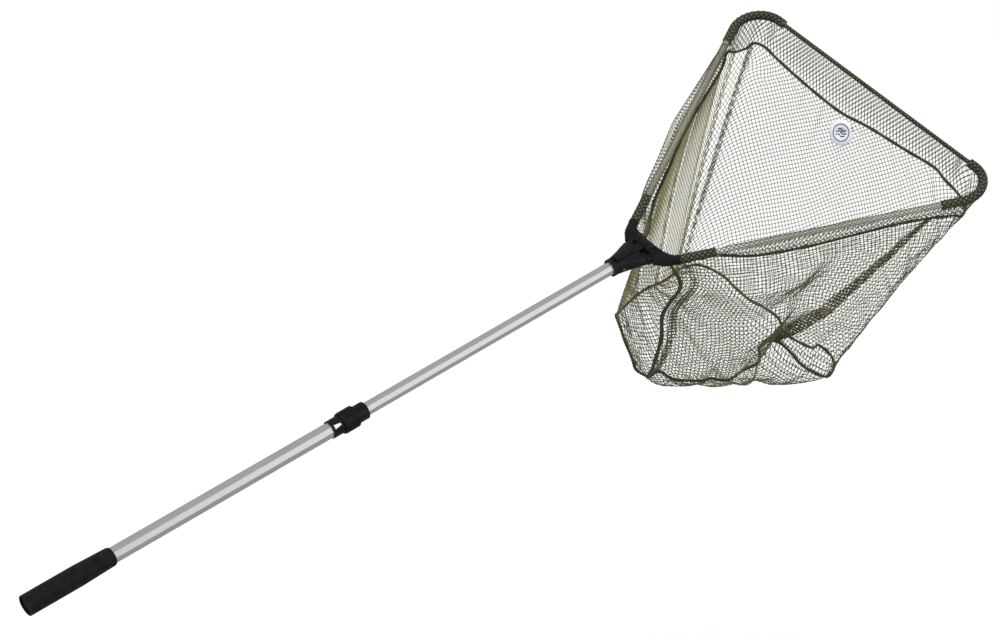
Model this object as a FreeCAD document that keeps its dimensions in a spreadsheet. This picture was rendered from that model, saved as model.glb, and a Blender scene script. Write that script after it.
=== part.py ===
import FreeCAD, Part
import math
import os

import Sketcher

# Folding landing net: telescopic two-section handle, hinged triangular hoop and hanging net bag.
# Row frame, millimetres: origin at the centre of the grip, +X along the handle towards the net,
# +Y to the left, +Z up. The head parts are drawn in the hinge's own frame: origin on the
# hinge pin, x forward in the plane of the hoop. That frame is tipped up by hoop_tilt.

Vector = FreeCAD.Vector
Rotation = FreeCAD.Rotation
ALONG_X = Rotation(Vector(0, 1, 0), 90)
ALONG_Y = Rotation(Vector(1, 0, 0), -90)
FACING_X = Rotation(Vector(1, 1, 1), 120)
TUBE_SIDES = 8
HALF_SIDE = 180.0 / TUBE_SIDES
NUT_RIBS = 20
COLLET_SLOTS = 4
GRIP_RIBS = 22
THREAD_TURNS = 5
TINY = 0.01

SIZES = {
    # handle
    "butt_end": -47, "grip_length": 156, "grip_straight": 94, "grip_radius": 17.2,
    "grip_front_radius": 15.2, "grip_lip_radius": 13.7, "grip_lip_length": 3,
    "grip_recess": 5, "grip_recess_radius": 14.2, "grip_rib_width": 10, "grip_rib_depth": 0.7,
    "grip_rib_length": 1.7, "grip_rib_start": 14, "grip_rib_run": 105, "grip_rib_turn": 60,
    "lower_start": -42, "lower_end": 531, "lower_corner": 13, "lower_flat": 12.25,
    "tube_wall": 1.1, "plug_length": 20, "cap_radius": 13.9, "cap_thick": 2.5,
    # twist lock
    "collar_start": 517.7, "collar_length": 20.2, "collar_radius": 14.8,
    "thread_radius": 13.6, "thread_length": 24, "thread_depth": 0.5, "thread_pitch": 3.2,
    "thread_lead": 2, "thread_half": 1, "cut_over": 1,
    "nose_radius": 12.4, "nose_length": 6, "finger_length": 18, "finger_gap": 1.6,
    "nut_gap": 0.3, "nut_length": 30.1, "nut_radius": 17.4, "nut_rib_height": 0.6,
    "nut_rib_width": 2.4, "nut_rib_margin": 2.5, "nut_edge": 1, "nut_shoulder": 2,
    "nut_bore": 14.2, "nut_front_bore": 11.5, "nut_step": 3,
    "neck_length": 18.7, "neck_radius": 14.6, "ring_length": 5, "ring_radius": 13.9,
    "ring_bore": 11.4, "ring_split": 2, "ring_lead": 1.2, "ring_seat": 2,
    # upper section
    "upper_start": 486, "upper_end": 1120, "upper_corner": 11, "upper_flat": 10.35,
    "upper_bore": 11.05, "bush_start": 505.2, "bush_end": 530.7, "bush_clearance": 0.35,
    # socket and hinge
    "mouth": 1087.2, "mouth_width": 14.2, "mouth_height": 14.2, "mouth_rim": 8,
    "throat": 1106, "throat_width": 17.6, "throat_height": 14.9,
    "flare": 1125, "flare_width": 24.0, "flare_height": 14.2,
    "socket_front": 1141, "front_width": 29.5, "front_height": 12.6,
    "mouth_rim_over": 0.7, "socket_depth": 34, "tongue_half": 8, "tongue_overlap": 4,
    "tongue_radius": 7.5, "tongue_end": 1153,
    "tongue_base": 11.7, "tongue_top": 12.5, "socket_rivet_x": 1103, "socket_rivet_radius": 2.0,
    "socket_rivet_inset": 0.6,
    "pin_x": 1159, "pin_z": 10.3, "pin_radius": 3.0, "pin_clearance": 0.05,
    "pin_half": 21.4, "pin_head_radius": 3.8, "pin_head": 1.4,
    "latch_start": 1096, "latch_length": 36, "latch_half": 6.5, "latch_height": 4.4,
    "latch_round": 2.6, "latch_floor": 13.2, "latch_gap": 0.4, "latch_foot_half": 4,
    "latch_foot_start": 12, "latch_foot_length": 10, "latch_travel": 5,
    "latch_foot_floor": 10.8, "latch_well_floor": 10.6, "latch_track_side": 0.5,
    "latch_track_depth": 8, "spring_radius": 0.8, "spring_wire": 0.3, "spring_length": 8.6,
    "spring_gap": 0.2, "spring_turns": 6,
    # hoop
    "hoop_tilt": 6.25, "hoop_drop": 11.5, "arm_angle": 28.1, "horn_x": 27, "horn_y": 56.8,
    "yoke_rear": 17.5, "yoke_rear_half": 28, "yoke_waist_x": 3, "yoke_waist_half": 33,
    "yoke_hip_x": 5, "yoke_hip_half": 42, "yoke_front": 16.5, "yoke_front_half": 22,
    "yoke_shoulder": 18, "yoke_shoulder_half": 34,
    "yoke_thick": 7.5, "yoke_round": 4.5, "horn_radius": 7.4, "horn_lip_radius": 8.6,
    "horn_lip_length": 4, "horn_length": 24, "slot_gap": 0.4, "slot_front": 9.5,
    "cheek_radius": 8, "cheek_half": 20, "arm_radius": 4.25, "arm_wall": 1.0,
    "arm_seat": 20, "bend_radius": 46, "front_x": 511, "tip_end_y": 232,
    "tip_radius": 4.6, "tip_plug": 26, "cord_radius": 2.2, "horn_rivet_radius": 1.3,
    "horn_rivet_back": 10, "horn_rivet_half": 6.9, "tip_overlap": 4,
    # soft goods on the hoop
    "guard_radius": 8.0, "guard_bore": 4.9, "root_guard_start": 28.5, "root_guard_end": 80,
    "tip_guard_start": 412, "tip_guard_end_y": 226, "hem_radius": 6.0, "hem_bore": 4.9,
    "hem_gap": 2, "band_radius": 3.4,
    # net bag
    "net_thick": 1.5, "edge_gap": 3.0, "piping_radius": 1.9, "hem_drop": 8, "side_seam": 22,
    "front_seam": 55, "back_drop": 16, "bag_root": 38, "closure_across": 0.45, "seam_end_gap": 0.5,
    "left_front_x": 1428, "left_front_y": 184, "left_front_z": -347,
    "right_front_x": 1444, "right_front_y": -177, "right_front_z": -312,
    "right_back_x": 1155, "right_back_y": -27, "right_back_z": -274,
    "left_back_x": 1171, "left_back_y": 76, "left_back_z": -217,
    "sag_x": 1310, "sag_y": 5, "sag_z": -368,
    "tag_radius": 22, "tag_thick": 0.8, "tag_gap": 2.2, "tag_across": 0.44, "tag_down": 0.08,
}

doc = FreeCAD.newDocument("landing_net")
sizes = doc.addObject("Spreadsheet::Sheet", "sizes")
parts = []


def fill_sheet():
    for row, (name, number) in enumerate(SIZES.items(), start=1):
        sizes.set(f"A{row}", name)
        sizes.set(f"B{row}", str(number))
        sizes.setAlias(f"B{row}", name)
    doc.recompute()


def mm(name):
    """Driving dimension, read from the sheet."""
    return float(sizes.get(name))


def amount(text):
    """Value of a sum such as 'mouth - socket_depth + 2'."""
    total = 0.0
    sign = 1.0
    for word in text.split():
        if word in ("+", "-"):
            sign = 1.0 if word == "+" else -1.0
        else:
            total += sign * (float(word) if word[0].isdigit() else mm(word))
            sign = 1.0
    return total


def linked(text):
    """The same sum as a FreeCAD expression on the sheet's cells."""
    words = []
    for word in text.split():
        words.append(f"sizes.{word}" if word[0].isalpha() else word)
    return " ".join(words)


def bind(thing, links):
    for prop, text in links.items():
        thing.setExpression(prop, linked(text))


def keep(thing, label):
    """Name a finished sub-part. Its label is its file name."""
    thing.Label = label
    parts.append(thing)
    return thing


# ---- frames ----

def head_frame():
    """Placement of the hinge's frame in the row frame."""
    tip_up = Rotation(Vector(0, 1, 0), -mm("hoop_tilt"))
    return FreeCAD.Placement(Vector(mm("pin_x"), 0, mm("pin_z")), tip_up)


def on_hoop(x, y, rise=0.0):
    """Point of the hoop's plane, given in the hinge's frame, as a row-frame point."""
    return head_frame().multVec(Vector(x, y, rise - mm("hoop_drop")))


def arm_y(x):
    """Half spread of the hoop's arms at x."""
    return mm("horn_y") + (x - mm("horn_x")) * math.tan(math.radians(mm("arm_angle")))


def arm_direction(side):
    angle = math.radians(mm("arm_angle"))
    return Vector(math.cos(angle), side * math.sin(angle), 0)


def arm_point(x, side, rise=0.0):
    """Point on an arm's axis, in the hinge's frame."""
    return Vector(x, side * arm_y(x), rise - mm("hoop_drop"))


# ---- building blocks ----

def origin_plane(body, role):
    for feature in body.Origin.OriginFeatures:
        if feature.Role == role:
            return feature
    raise ValueError(role)


def outline(body, name, role, corners):
    """Closed outline with each corner held by two dimensions that follow the sheet."""
    sketch = body.newObject("Sketcher::SketchObject", name)
    sketch.AttachmentSupport = [(origin_plane(body, role), "")]
    sketch.MapMode = "FlatFace"
    add_loop(sketch, corners)
    return sketch


def add_loop(sketch, corners):
    first = sketch.GeometryCount
    count = len(corners)
    spots = [Vector(amount(x), amount(y), 0) for x, y in corners]
    for i in range(count):
        sketch.addGeometry(Part.LineSegment(spots[i], spots[(i + 1) % count]))
    for i in range(count):
        following = first + (i + 1) % count
        sketch.addConstraint(Sketcher.Constraint("Coincident", first + i, 2, following, 1))
    for i, (x, y) in enumerate(corners):
        for kind, text in (("DistanceX", x), ("DistanceY", y)):
            rule = Sketcher.Constraint(kind, -1, 1, first + i, 1, amount(text))
            index = sketch.addConstraint(rule)
            sketch.setExpression(f"Constraints[{index}]", linked(text))


def turned(name, start, corners):
    """Body of revolution about the handle's axis. Corners are (distance from start, radius)."""
    body = doc.addObject("PartDesign::Body", name)
    sketch = outline(body, name + "_outline", "XZ_Plane", corners)
    spin = body.newObject("PartDesign::Revolution", name + "_turned")
    spin.Profile = sketch
    spin.ReferenceAxis = (sketch, ["H_Axis"])
    spin.Angle = 360
    bind(body, {"Placement.Base.x": start})
    doc.recompute()
    return body


def check_grows(body, before, wanted):
    """A pad has to add and a pocket has to cut."""
    doc.recompute()
    change = body.Shape.Volume - before
    if change * wanted <= 0:
        raise ValueError(f"{body.Label}: feature changed the volume by {change:.1f}")


def cylinder(name, radius, length):
    bar = doc.addObject("Part::Cylinder", name)
    bind(bar, {"Radius": radius, "Height": length})
    return bar


def box(name, length, width, height):
    block = doc.addObject("Part::Box", name)
    bind(block, {"Length": length, "Width": width, "Height": height})
    return block


def place(thing, x="0", y="0", z="0", turn=Rotation()):
    """Put a primitive in the row frame, with each coordinate bound to the sheet."""
    thing.Placement = FreeCAD.Placement(Vector(), turn)
    bind(thing, {"Placement.Base.x": x, "Placement.Base.y": y, "Placement.Base.z": z})
    return thing


def fused(name, pieces):
    union = doc.addObject("Part::MultiFuse", name)
    union.Shapes = pieces
    doc.recompute()
    return union


def cut(name, base, tool):
    result = doc.addObject("Part::Cut", name)
    result.Base = base
    result.Tool = tool
    doc.recompute()
    return result


def faceted_bar(name, corner, flat, start, end):
    """Bar with eight flats and rounded corners, lying on the handle's axis."""
    prism = doc.addObject("Part::Prism", name + "_flats")
    prism.Polygon = TUBE_SIDES
    prism.setExpression("Circumradius", f"({linked(flat)}) / cos({HALF_SIDE} deg)")
    bind(prism, {"Height": end + " - " + start})
    turn = ALONG_X.multiply(Rotation(Vector(0, 0, 1), HALF_SIDE))
    place(prism, x=start, turn=turn)
    round_bar = cylinder(name + "_round", corner, end + " - " + start)
    place(round_bar, x=start, turn=ALONG_X)
    bar = doc.addObject("Part::Common", name)
    bar.Base = round_bar
    bar.Tool = prism
    doc.recompute()
    return bar


def solid_feature(name, shape, frame=None):
    """Sub-part whose shape is worked out here, in its own frame."""
    feature = doc.addObject("Part::Feature", name)
    feature.Shape = shape
    feature.Placement = frame or FreeCAD.Placement()
    return keep(feature, name)


def between(low, high, share):
    return low + (high - low) * share


def rod(start, end, radius):
    return Part.makeCylinder(radius, (end - start).Length, start, end - start)


def rod_chain(points, radius):
    """Round rods end to end, with a ball at each bend."""
    pieces = [rod(a, b, radius) for a, b in zip(points, points[1:])]
    pieces += [Part.makeSphere(radius, point) for point in points[1:-1]]
    return pieces[0].fuse(pieces[1:]).removeSplitter()


def sleeve(start, end, radius, bore):
    return rod(start, end, radius).cut(rod(start, end, bore))


# ---- handle ----

def make_grip():
    body = turned("grip", "butt_end", [
        ("0", "grip_recess_radius"),
        ("0", "grip_radius"),
        ("grip_straight", "grip_radius"),
        ("grip_length - grip_lip_length", "grip_front_radius"),
        ("grip_length", "grip_lip_radius"),
        ("grip_length", "lower_corner"),
        ("grip_recess", "lower_corner"),
        ("grip_recess", "grip_recess_radius"),
    ])
    before = body.Shape.Volume
    back = "grip_rib_start"
    front = "grip_rib_start + grip_rib_length"
    inner = "grip_radius - grip_rib_depth"
    outer = "grip_radius + cut_over"
    sketch = outline(body, "grip_ribs_outline", "XZ_Plane", [
        (back, inner), (front, inner), (front, outer), (back, outer)])
    add_loop(sketch, [
        (back, "- grip_radius - cut_over"), (front, "- grip_radius - cut_over"),
        (front, "- grip_radius + grip_rib_depth"), (back, "- grip_radius + grip_rib_depth")])
    groove = body.newObject("PartDesign::Pocket", "grip_rib_groove")
    groove.Profile = sketch
    groove.Midplane = True
    bind(groove, {"Length": "grip_rib_width"})
    check_grows(body, before, -1)
    row = body.newObject("PartDesign::LinearPattern", "grip_rib_row")
    row.Originals = [groove]
    row.Direction = (sketch, ["H_Axis"])
    row.Occurrences = GRIP_RIBS
    bind(row, {"Length": "grip_rib_run"})
    body.Tip = row
    body.Placement.Rotation = Rotation(Vector(1, 0, 0), mm("grip_rib_turn"))
    keep(body, "grip")


def make_butt_cap():
    inside = "lower_flat - tube_wall"
    keep(turned("butt_cap", "lower_start - cap_thick", [
        ("0", "0"),
        ("0", "cap_radius"),
        ("cap_thick", "cap_radius"),
        ("cap_thick", inside),
        ("cap_thick + plug_length", inside),
        ("cap_thick + plug_length", "0"),
    ]), "butt_cap")


def make_lower_tube():
    outer = faceted_bar("lower_bar", "lower_corner", "lower_flat", "lower_start", "lower_end")
    inner = faceted_bar("lower_hollow", "lower_corner - tube_wall", "lower_flat - tube_wall",
                        "lower_start", "lower_end")
    keep(cut("lower_tube", outer, inner), "lower_tube")


# ---- twist lock ----

def make_lock_collet():
    body = turned("lock_collet", "collar_start", [
        ("0", "lower_corner"),
        ("0", "collar_radius"),
        ("collar_length", "collar_radius"),
        ("collar_length", "thread_radius"),
        ("collar_length + thread_length", "thread_radius"),
        ("collar_length + thread_length + nose_length", "nose_radius"),
        ("collar_length + thread_length + nose_length", "upper_bore"),
        ("lower_end - collar_start", "upper_bore"),
        ("lower_end - collar_start", "lower_corner"),
    ])
    cut_thread(body)
    cut_fingers(body)
    keep(body, "lock_collet")


def cut_thread(body):
    before = body.Shape.Volume
    start = "collar_length + thread_lead"
    sketch = outline(body, "thread_outline", "XZ_Plane", [
        (start, "thread_radius + cut_over"),
        (start + " + thread_half", "thread_radius - thread_depth"),
        (start + " + thread_half + thread_half", "thread_radius + cut_over"),
    ])
    ring = body.newObject("PartDesign::Groove", "thread_groove")
    ring.Profile = sketch
    ring.ReferenceAxis = (sketch, ["H_Axis"])
    ring.Angle = 360
    check_grows(body, before, -1)
    row = body.newObject("PartDesign::LinearPattern", "thread_row")
    row.Originals = [ring]
    row.Direction = (sketch, ["H_Axis"])
    row.Occurrences = THREAD_TURNS
    row.setExpression("Length", f"sizes.thread_pitch * {THREAD_TURNS - 1}")
    body.Tip = row
    doc.recompute()


def cut_fingers(body):
    before = body.Shape.Volume
    front = "collar_length + thread_length + nose_length"
    sketch = outline(body, "finger_outline", "XZ_Plane", [
        (front + " - finger_length", "upper_bore - cut_over"),
        (front + " + cut_over", "upper_bore - cut_over"),
        (front + " + cut_over", "thread_radius + cut_over"),
        (front + " - finger_length", "thread_radius + cut_over"),
    ])
    slit = body.newObject("PartDesign::Pocket", "finger_slit")
    slit.Profile = sketch
    slit.Midplane = True
    bind(slit, {"Length": "finger_gap"})
    check_grows(body, before, -1)
    ring = body.newObject("PartDesign::PolarPattern", "finger_slits")
    ring.Originals = [slit]
    ring.Axis = (sketch, ["H_Axis"])
    ring.Angle = 360
    ring.Occurrences = COLLET_SLOTS
    body.Tip = ring
    doc.recompute()


def make_lock_nut():
    start = "collar_start + collar_length + nut_gap"
    body = turned("lock_nut", start, [
        ("0", "nut_bore"),
        ("0", "nut_radius - nut_edge"),
        ("nut_edge", "nut_radius"),
        ("nut_length - nut_shoulder", "nut_radius"),
        ("nut_length", "neck_radius"),
        ("nut_length + neck_length - nut_edge", "neck_radius"),
        ("nut_length + neck_length", "neck_radius - nut_edge"),
        ("nut_length + neck_length", "nut_front_bore"),
        ("nut_length + ring_length + nut_step", "nut_front_bore"),
        ("nut_length + ring_length + nut_step", "nut_bore"),
    ])
    before = body.Shape.Volume
    sketch = outline(body, "nut_rib_outline", "XZ_Plane", [
        ("nut_rib_margin", "nut_radius - nut_edge"),
        ("nut_length - nut_rib_margin", "nut_radius - nut_edge"),
        ("nut_length - nut_rib_margin", "nut_radius + nut_rib_height"),
        ("nut_rib_margin", "nut_radius + nut_rib_height"),
    ])
    rib = body.newObject("PartDesign::Pad", "nut_rib")
    rib.Profile = sketch
    rib.Midplane = True
    bind(rib, {"Length": "nut_rib_width"})
    check_grows(body, before, 1)
    ring = body.newObject("PartDesign::PolarPattern", "nut_ribs")
    ring.Originals = [rib]
    ring.Axis = (sketch, ["H_Axis"])
    ring.Angle = 360
    ring.Occurrences = NUT_RIBS
    body.Tip = ring
    keep(body, "lock_nut")


def make_clamp_ring():
    """Split ring that the nut presses on the collet's nose. It turns with the nut."""
    start = "collar_start + collar_length + nut_gap + nut_length + ring_seat"
    body = turned("clamp_ring", start, [
        ("ring_lead", "ring_bore"), ("0", "ring_radius"),
        ("ring_length", "ring_radius"), ("ring_length", "ring_bore")])
    before = body.Shape.Volume
    sketch = outline(body, "ring_split_outline", "XZ_Plane", [
        ("0", "ring_bore - cut_over"), ("ring_length", "ring_bore - cut_over"),
        ("ring_length", "ring_radius + cut_over"), ("0", "ring_radius + cut_over")])
    gap = body.newObject("PartDesign::Pocket", "ring_split_cut")
    gap.Profile = sketch
    gap.Midplane = True
    bind(gap, {"Length": "ring_split"})
    check_grows(body, before, -1)
    body.Tip = gap
    keep(body, "clamp_ring")


# ---- upper section, socket and hinge ----

def make_upper_tube():
    outer = faceted_bar("upper_bar", "upper_corner", "upper_flat", "upper_start", "upper_end")
    inner = faceted_bar("upper_hollow", "upper_corner - tube_wall", "upper_flat - tube_wall",
                        "upper_start", "upper_end")
    keep(cut("upper_tube", outer, inner), "upper_tube")


def make_shaft_bush():
    """Nylon sleeve on the upper tube's inner end. It guides the tube and is its stop."""
    outer = faceted_bar("bush_bar", "lower_corner - tube_wall - bush_clearance",
                        "lower_flat - tube_wall - bush_clearance", "bush_start", "bush_end")
    inner = faceted_bar("bush_hollow", "upper_corner", "upper_flat", "bush_start", "bush_end")
    keep(cut("shaft_bush", outer, inner), "shaft_bush")


def ellipse(name, station, half_width, half_height):
    ring = doc.addObject("Part::Ellipse", name)
    bind(ring, {"MajorRadius": half_width, "MinorRadius": half_height})
    return place(ring, x=station, turn=FACING_X)


def make_head_socket():
    sections = [
        ellipse("mouth_ring", "mouth", "mouth_width", "mouth_height"),
        ellipse("throat_ring", "throat", "throat_width", "throat_height"),
        ellipse("flare_ring", "flare", "flare_width", "flare_height"),
        ellipse("front_ring", "socket_front", "front_width", "front_height"),
    ]
    cone = doc.addObject("Part::Loft", "socket_cone")
    cone.Sections = sections
    cone.Solid = True
    cone.Ruled = False
    rim = cylinder("mouth_band", "mouth_width + mouth_rim_over", "mouth_rim")
    place(rim, x="mouth", turn=ALONG_X)
    stem = box("tongue_stem", "tongue_end - socket_front + tongue_overlap",
               "tongue_half + tongue_half", "tongue_top + tongue_base")
    place(stem, x="socket_front - tongue_overlap", y="- tongue_half", z="- tongue_base")
    eye = cylinder("tongue_eye", "tongue_radius", "tongue_half + tongue_half")
    place(eye, x="pin_x", y="- tongue_half", z="pin_z", turn=ALONG_Y)
    whole = fused("socket_solid", [cone, rim, stem, eye])
    bore = cylinder("socket_bore", "upper_bore", "socket_depth")
    place(bore, x="mouth", turn=ALONG_X)
    pin_hole = cylinder("tongue_hole", "pin_radius",
                        "tongue_half + tongue_half + cut_over + cut_over")
    place(pin_hole, x="pin_x", y="- tongue_half - cut_over", z="pin_z", turn=ALONG_Y)
    rivet_hole = cylinder("socket_rivet_hole", "socket_rivet_radius", "front_width + front_width")
    place(rivet_hole, x="socket_rivet_x", y="- front_width", turn=ALONG_Y)
    slide_floor = latch_recess()
    tools = fused("socket_cuts", [bore, pin_hole, rivet_hole] + slide_floor)
    keep(cut("head_socket", whole, tools), "head_socket")


def latch_recess():
    """Flat track on the socket's top and a pocket for the latch's foot and spring."""
    track = box("latch_track", "latch_length + latch_travel + cut_over",
                "latch_half + latch_half + latch_track_side + latch_track_side",
                "latch_track_depth")
    place(track, x="latch_start - latch_travel", y="- latch_half - latch_track_side",
          z="latch_floor - latch_gap")
    well = box("latch_well", "latch_foot_length + spring_length + latch_gap",
               "latch_foot_half + latch_foot_half + latch_gap + latch_gap",
               "latch_floor - latch_well_floor")
    place(well, x="latch_start + latch_foot_start - spring_length",
          y="- latch_foot_half - latch_gap", z="latch_well_floor")
    return [track, well]


def make_fold_latch():
    """Thumb slide that holds the opened head. A low ridge on the socket."""
    plate = box("latch_plate", "latch_length", "latch_half + latch_half", "latch_height")
    foot = box("latch_foot", "latch_foot_length", "latch_foot_half + latch_foot_half",
               "latch_floor - latch_foot_floor")
    place(plate, x="latch_start", y="- latch_half", z="latch_floor")
    place(foot, x="latch_start + latch_foot_start", y="- latch_foot_half",
          z="latch_foot_floor")
    block = fused("latch_block", [plate, foot])
    top = mm("latch_floor") + mm("latch_height")
    rounded = doc.addObject("Part::Fillet", "latch_rounded")
    rounded.Base = block
    rounded.Edges = [
        (index, mm("latch_round"), mm("latch_round"))
        for index, edge in enumerate(block.Shape.Edges, start=1)
        if edge.BoundBox.ZMin > top - TINY
    ]
    doc.recompute()
    keep(rounded, "fold_latch")


def make_latch_spring():
    """Coil behind the latch's foot, pushing it forward."""
    radius = mm("spring_radius")
    wire = mm("spring_wire")
    gap = mm("spring_gap")
    length = mm("spring_length") - 2 * (wire + gap)
    helix = Part.makeHelix(length / mm("spring_turns"), length, radius)
    circle = Part.Wire(Part.makeCircle(wire, Vector(radius, 0, 0), Vector(0, 1, 0)))
    coil = Part.Wire(helix.Edges).makePipeShell([circle], True, True)
    back = mm("latch_start") + mm("latch_foot_start") - mm("spring_length") + wire + gap
    height = mm("latch_foot_floor") + radius + wire
    solid_feature("latch_spring", coil, FreeCAD.Placement(Vector(back, 0, height), ALONG_X))


def make_socket_rivet():
    half = "throat_width - socket_rivet_inset"
    shank = cylinder("socket_rivet_shank", "socket_rivet_radius", half + " + " + half)
    place(shank, x="socket_rivet_x", y="socket_rivet_inset - throat_width", turn=ALONG_Y)
    doc.recompute()
    keep(shank, "socket_rivet")


def make_hinge_pin():
    shank = cylinder("pin_shank", "pin_radius", "pin_half + pin_half")
    place(shank, x="pin_x", y="- pin_half", z="pin_z", turn=ALONG_Y)
    heads = []
    for name, y in (("right", "- pin_half"), ("left", "pin_half - pin_head")):
        head = cylinder(f"pin_head_{name}", "pin_head_radius", "pin_head")
        heads.append(place(head, x="pin_x", y=y, z="pin_z", turn=ALONG_Y))
    keep(fused("hinge_pin", [shank] + heads), "hinge_pin")


# ---- hoop ----

def yoke_half(side):
    """Corners of one half of the yoke's plan, from the rear to the front."""
    angle = math.radians(mm("arm_angle"))
    across = Vector(-math.sin(angle), math.cos(angle), 0) * (mm("horn_radius") - 1)
    tip_x = mm("horn_x") - mm("horn_lip_length")
    tip = Vector(tip_x, arm_y(tip_x), 0)
    corners = [
        Vector(-mm("yoke_rear"), mm("yoke_rear_half"), 0),
        Vector(-mm("yoke_waist_x"), mm("yoke_waist_half"), 0),
        Vector(mm("yoke_hip_x"), mm("yoke_hip_half"), 0),
        tip + across,
        tip - across,
        Vector(mm("yoke_shoulder"), mm("yoke_shoulder_half"), 0),
        Vector(mm("yoke_front"), mm("yoke_front_half"), 0),
    ]
    return [Vector(point.x, side * point.y, 0) for point in corners]


def smooth_edge(points):
    """Spline through the points, as one edge."""
    curve = Part.BSplineCurve()
    curve.interpolate(points)
    return curve.toShape()


def yoke_plate():
    left = yoke_half(1)
    right = yoke_half(-1)
    edges = [
        Part.makeLine(right[0], left[0]),
        smooth_edge(left[0:4]),
        Part.makeLine(left[3], left[4]),
        smooth_edge(left[4:] + right[:3:-1]),
        Part.makeLine(right[4], right[3]),
        smooth_edge(right[3::-1]),
    ]
    face = Part.Face(Part.Wire(edges))
    thick = mm("yoke_thick")
    plate = face.extrude(Vector(0, 0, 2 * thick))
    plate.translate(Vector(0, 0, -thick - mm("hoop_drop")))
    rims = [edge for edge in plate.Edges if edge.BoundBox.ZLength < TINY]
    return plate.makeFillet(mm("yoke_round"), rims)


def make_yoke():
    """Wishbone that carries both arms and turns on the hinge pin between its cheeks."""
    body = yoke_plate()
    for side in (1, -1):
        tip = arm_point(mm("horn_x"), side)
        direction = arm_direction(side)
        root = tip - direction * mm("horn_length")
        lip = tip - direction * mm("horn_lip_length")
        body = body.fuse([rod(root, tip, mm("horn_radius")), rod(lip, tip, mm("horn_lip_radius"))])
    half = mm("cheek_half")
    radius = mm("cheek_radius")
    hub = Part.makeCylinder(radius, 2 * half, Vector(0, -half, 0), Vector(0, 1, 0))
    web = Part.makeBox(2 * radius, 2 * half, mm("hoop_drop"),
                       Vector(-radius, -half, -mm("hoop_drop")))
    body = body.fuse([hub, web])
    cuts = yoke_cuts(half)
    solid_feature("yoke", body.cut(cuts).removeSplitter(), head_frame())


def yoke_cuts(half):
    slot_half = mm("tongue_half") + mm("slot_gap")
    rear = -mm("yoke_rear") - mm("cut_over")
    depth = 4 * mm("hoop_drop")
    slot = Part.makeBox(mm("slot_front") - rear, 2 * slot_half, depth,
                        Vector(rear, -slot_half, -depth / 2))
    bore = mm("pin_radius") + mm("pin_clearance")
    outside = half + mm("cut_over")
    pin_hole = Part.makeCylinder(bore, 2 * outside, Vector(0, -outside, 0), Vector(0, 1, 0))
    cuts = [slot, pin_hole]
    for side in (1, -1):
        tip = arm_point(mm("horn_x"), side)
        direction = arm_direction(side)
        cuts.append(rod(tip - direction * mm("arm_seat"), tip + direction, mm("arm_radius")))
        cuts.append(horn_rivet(side, mm("cut_over")))
    return cuts


def horn_rivet(side, extra):
    """Cross pin that holds an arm in its horn, longer by extra at each end."""
    centre = arm_point(mm("horn_x"), side) - arm_direction(side) * mm("horn_rivet_back")
    reach = Vector(0, 0, mm("horn_rivet_half") + extra)
    return rod(centre - reach, centre + reach, mm("horn_rivet_radius"))


def bend_start():
    """Straight end of an arm's axis, where the corner bend begins."""
    angle = math.radians(mm("arm_angle"))
    return mm("front_x") - mm("bend_radius") * (1 + math.sin(angle))


def make_arm(label, side):
    start = arm_point(mm("horn_x"), side) - arm_direction(side) * mm("arm_seat")
    end = arm_point(bend_start() - mm("tip_overlap"), side)
    tube = sleeve(start, end, mm("arm_radius"), mm("arm_radius") - mm("arm_wall"))
    solid_feature(label, tube.cut(horn_rivet(side, mm("cut_over"))), head_frame())


def make_arm_rivets():
    pins = [horn_rivet(side, 0) for side in (1, -1)]
    solid_feature("arm_rivets", Part.makeCompound(pins), head_frame())


def corner_path(start_x, side, end_y):
    """Axis of the hoop from an arm, round the corner and along the front cord."""
    start = arm_point(start_x, side)
    enter = arm_point(bend_start(), side)
    leave_y = arm_y(bend_start()) - mm("bend_radius") * math.cos(math.radians(mm("arm_angle")))
    centre = Vector(mm("front_x") - mm("bend_radius"), side * leave_y, -mm("hoop_drop"))
    leave = Vector(mm("front_x"), side * leave_y, -mm("hoop_drop"))
    outward = enter + leave - centre * 2
    middle = centre + outward * (mm("bend_radius") / outward.Length)
    end = Vector(mm("front_x"), side * end_y, -mm("hoop_drop"))
    edges = [Part.makeLine(start, enter), Part.Arc(enter, middle, leave).toShape(),
             Part.makeLine(leave, end)]
    return Part.Wire(edges), arm_direction(side)


def round_pipe(path, direction, radius):
    start = path.Vertexes[0].Point
    ring = Part.Wire(Part.makeCircle(radius, start, direction))
    return path.makePipeShell([ring], True, False)


def make_tip(label, side):
    """Moulded elbow that plugs into an arm and takes the front cord's end."""
    start_x = bend_start() - mm("tip_overlap")
    path, direction = corner_path(start_x, side, mm("tip_end_y"))
    elbow = round_pipe(path, direction, mm("tip_radius"))
    plug_end = arm_point(start_x, side)
    plug = rod(plug_end - direction * mm("tip_plug"), plug_end + direction,
               mm("arm_radius") - mm("arm_wall"))
    solid_feature(label, elbow.fuse(plug).removeSplitter(), head_frame())


def make_rim_cord():
    end_y = mm("tip_end_y")
    ends = [Vector(mm("front_x"), side * end_y, -mm("hoop_drop")) for side in (1, -1)]
    solid_feature("rim_cord", rod(ends[0], ends[1], mm("cord_radius")), head_frame())


# ---- sleeves on the hoop ----

def make_root_guard(label, side):
    start = arm_point(mm("root_guard_start"), side)
    end = arm_point(mm("root_guard_end"), side)
    solid_feature(label, sleeve(start, end, mm("guard_radius"), mm("guard_bore")), head_frame())


def make_hem(label, side):
    start = arm_point(mm("root_guard_end") + mm("hem_gap"), side)
    end = arm_point(mm("tip_guard_start") - mm("hem_gap"), side)
    solid_feature(label, sleeve(start, end, mm("hem_radius"), mm("hem_bore")), head_frame())


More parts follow.
